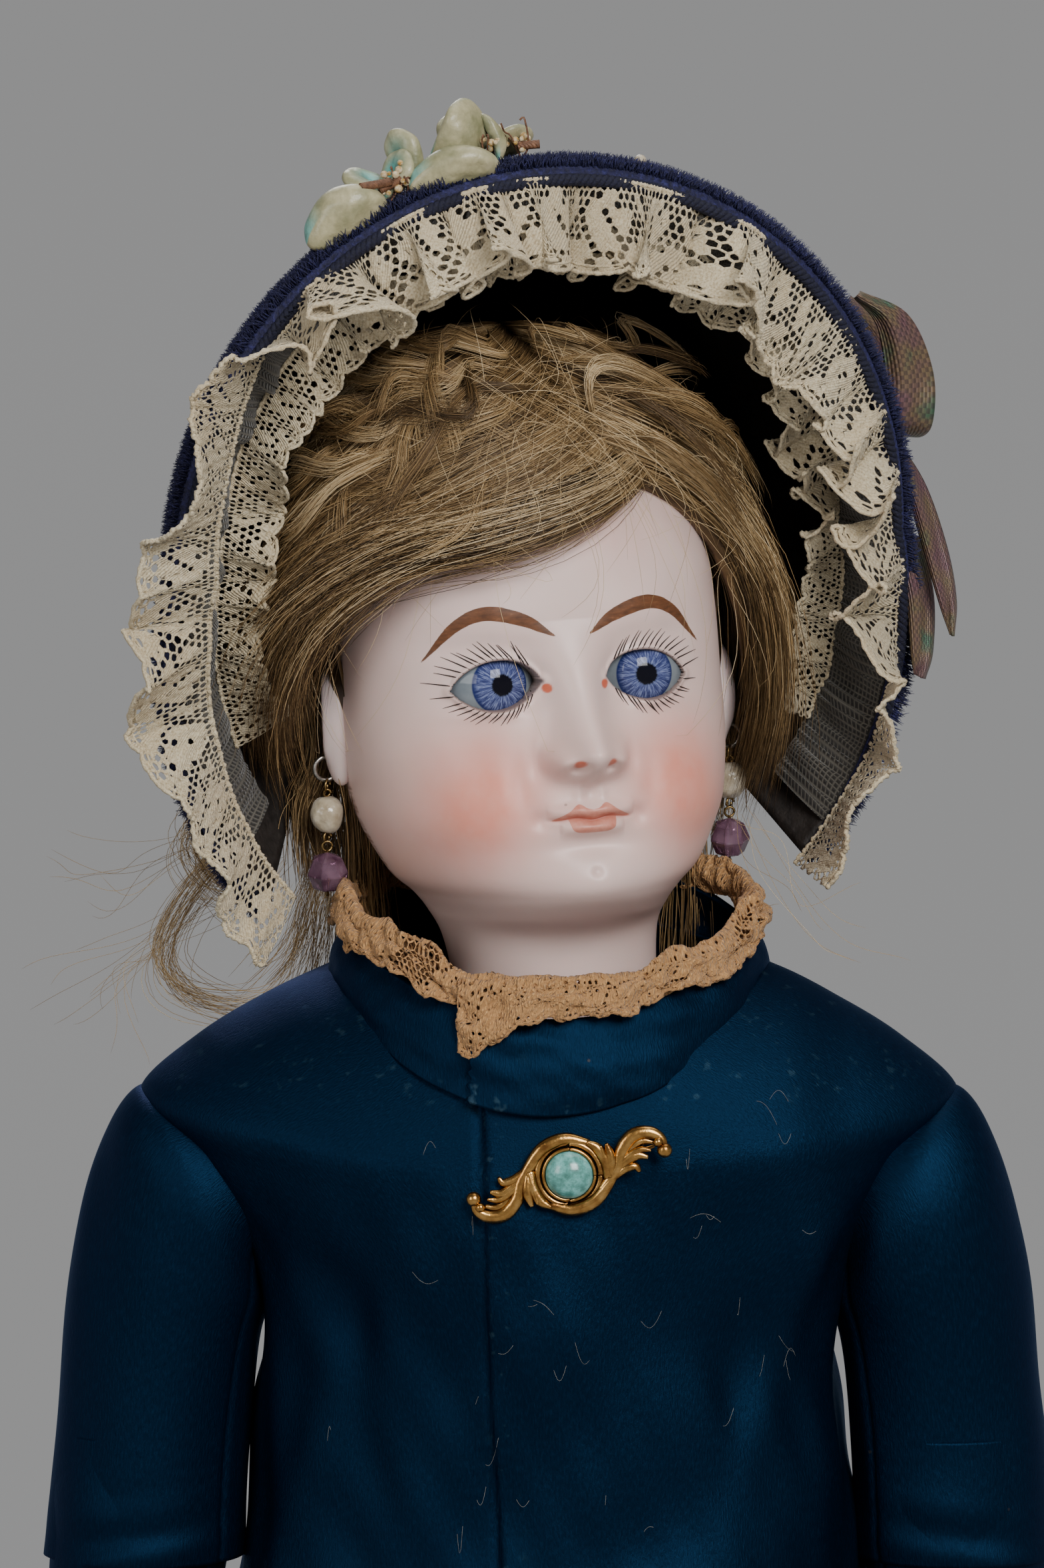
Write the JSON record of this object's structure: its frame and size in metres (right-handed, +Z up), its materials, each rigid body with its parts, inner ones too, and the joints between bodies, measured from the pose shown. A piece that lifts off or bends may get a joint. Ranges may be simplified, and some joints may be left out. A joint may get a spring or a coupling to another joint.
{
  "type": "jointed porcelain doll",
  "caption": "Standing dressed bisque-head doll with glass eyes, mohair wig, lace-trimmed velvet bonnet, satin coat with bar brooch, and a strung ball-jointed body.",
  "frame": {"origin": "on the floor, midway between the shoes and under the centre of the coat's round hem", "axes": "+Z up; the doll faces -Y; its own left hand is at +X"},
  "size_m": [0.212, 0.212, 0.5134],
  "materials": {
    "bisque": "unglazed bisque porcelain, satin, painted blush, brows, lashes and lips",
    "composition": "painted composition, satin",
    "bare_wood": "turned wood, bare",
    "iron": "dark iron wire",
    "elastic": "cotton-covered elastic cord",
    "eye_glass": "blown threaded glass, glossy",
    "plaster": "cast plaster, matt",
    "cork": "cork, matt",
    "mohair": "ash-blond mohair fibre",
    "satin": "deep teal navy silk satin",
    "velvet": "dark navy plush velvet",
    "lining": "dark lining cloth",
    "lace": "cream cotton bobbin lace",
    "collar_lace": "tan tape lace",
    "net": "dark olive gathered net",
    "petal": "waxed cream-olive petals with turquoise painted folds",
    "ribbon": "shot bronze and purple ribbon",
    "gilt": "antique gilt, worn to darker brass in the hollows",
    "turquoise": "mottled turquoise stone, polished",
    "silver": "tarnished silver wire",
    "pearl": "baroque pearl",
    "amethyst": "faceted purple glass",
    "cotton": "white cotton",
    "leather": "black leather"
  },
  "bodies": {
    "torso": {"torso": "composition", "arm_elastic": "elastic", "leg_elastic": "elastic", "coat_body": "satin", "coat_collar": "satin", "collar_lace": "collar_lace", "petticoat": "cotton", "brooch_mount": "gilt", "brooch_stone": "turquoise", "brooch_pin": "gilt"},
    "neck": {"neck_button": "bare_wood", "neck_hook": "iron", "neck_spring": "iron"},
    "head": {"head_shell": "bisque", "pate": "cork", "eye_l": "eye_glass", "eye_r": "eye_glass", "eye_plaster": "plaster", "wig": "mohair", "bonnet": "velvet", "bonnet_lining": "lining", "bonnet_net": "net", "lace_outer": "lace", "lace_inner": "lace", "flower_low": "petal", "flower_top": "petal", "ribbon_bow": "ribbon", "ribbon_tail": "ribbon", "ear_ring_l": "silver", "ear_ring_r": "silver"},
    "pearl_l": {"pearl_drop_l": "pearl"},
    "amethyst_l": {"amethyst_drop_l": "amethyst"},
    "upper_arm_l": {"upper_arm_l": "composition", "elbow_ball_l": "bare_wood", "sleeve_upper_l": "satin"},
    "forearm_l": {"forearm_l": "composition", "sleeve_lower_l": "satin"},
    "hand_l": {"hand_l": "composition"},
    "thigh_l": {"thigh_l": "composition", "knee_ball_l": "bare_wood"},
    "lower_leg_l": {"lower_leg_l": "composition", "stocking_l": "cotton", "shoe_upper_l": "leather", "shoe_sole_l": "leather", "shoe_strap_l": "leather"},
    "pearl_r": {"pearl_drop_r": "pearl"},
    "amethyst_r": {"amethyst_drop_r": "amethyst"},
    "upper_arm_r": {"upper_arm_r": "composition", "elbow_ball_r": "bare_wood", "sleeve_upper_r": "satin"},
    "forearm_r": {"forearm_r": "composition", "sleeve_lower_r": "satin"},
    "hand_r": {"hand_r": "composition"},
    "thigh_r": {"thigh_r": "composition", "knee_ball_r": "bare_wood"},
    "lower_leg_r": {"lower_leg_r": "composition", "stocking_r": "cotton", "shoe_upper_r": "leather", "shoe_sole_r": "leather", "shoe_strap_r": "leather"}
  },
  "joints": [
    {"name": "head_turn", "type": "hinge", "parent": "torso", "child": "neck", "pos_m": [0.001, 0.003, 0.35], "axis": [0, 0, 1], "range_deg": [-70, 40], "deforming": ["leg_elastic"]},
    {"name": "head_nod", "type": "hinge", "parent": "neck", "child": "head", "pos_m": [0.001, 0.003, 0.35], "axis": [0.9641, 0.2583, 0.061], "range_deg": [-4, 8]},
    {"name": "pearl_swing_l", "type": "hinge", "parent": "head", "child": "pearl_l", "pos_m": [0.03194, 0.0175, 0.40055], "axis": [0.9659, 0.2588, 0], "range_deg": [-30, 35]},
    {"name": "amethyst_swing_l", "type": "hinge", "parent": "pearl_l", "child": "amethyst_l", "pos_m": [0.03194, 0.0175, 0.38945], "axis": [0.9659, 0.2588, 0], "range_deg": [-30, 30]},
    {"name": "shoulder_l", "type": "hinge", "parent": "torso", "child": "upper_arm_l", "pos_m": [0.055, 0, 0.329], "axis": [-1, 0, 0], "range_deg": [-30, 100], "deforming": ["sleeve_upper_l"]},
    {"name": "elbow_l", "type": "hinge", "parent": "upper_arm_l", "child": "forearm_l", "pos_m": [0.071, 0, 0.262], "axis": [-1, 0, 0], "range_deg": [0, 70], "deforming": ["sleeve_lower_l"]},
    {"name": "wrist_l", "type": "hinge", "parent": "forearm_l", "child": "hand_l", "pos_m": [0.078, -0.004, 0.202], "axis": [0.1156, -0.0661, -0.9911], "range_deg": [-60, 60]},
    {"name": "hip_l", "type": "hinge", "parent": "torso", "child": "thigh_l", "pos_m": [0.02, 0, 0.21], "axis": [-1, 0, 0], "range_deg": [-10, 30]},
    {"name": "knee_l", "type": "hinge", "parent": "thigh_l", "child": "lower_leg_l", "pos_m": [0.02, 0, 0.115], "axis": [1, 0, 0], "range_deg": [0, 35]},
    {"name": "pearl_swing_r", "type": "hinge", "parent": "head", "child": "pearl_r", "pos_m": [-0.03864, -0.00141, 0.39608], "axis": [0.9659, 0.2588, 0], "range_deg": [-30, 35]},
    {"name": "amethyst_swing_r", "type": "hinge", "parent": "pearl_r", "child": "amethyst_r", "pos_m": [-0.03864, -0.00141, 0.38498], "axis": [0.9659, 0.2588, 0], "range_deg": [-30, 30]},
    {"name": "shoulder_r", "type": "hinge", "parent": "torso", "child": "upper_arm_r", "pos_m": [-0.055, 0, 0.329], "axis": [-1, 0, 0], "range_deg": [-30, 100], "deforming": ["sleeve_upper_r"]},
    {"name": "elbow_r", "type": "hinge", "parent": "upper_arm_r", "child": "forearm_r", "pos_m": [-0.071, 0, 0.262], "axis": [-1, 0, 0], "range_deg": [0, 70], "deforming": ["sleeve_lower_r"]},
    {"name": "wrist_r", "type": "hinge", "parent": "forearm_r", "child": "hand_r", "pos_m": [-0.078, -0.004, 0.202], "axis": [-0.1156, -0.0661, -0.9911], "range_deg": [-60, 60]},
    {"name": "hip_r", "type": "hinge", "parent": "torso", "child": "thigh_r", "pos_m": [-0.02, 0, 0.21], "axis": [-1, 0, 0], "range_deg": [-10, 30]},
    {"name": "knee_r", "type": "hinge", "parent": "thigh_r", "child": "lower_leg_r", "pos_m": [-0.02, 0, 0.115], "axis": [1, 0, 0], "range_deg": [0, 35]}
  ]
}
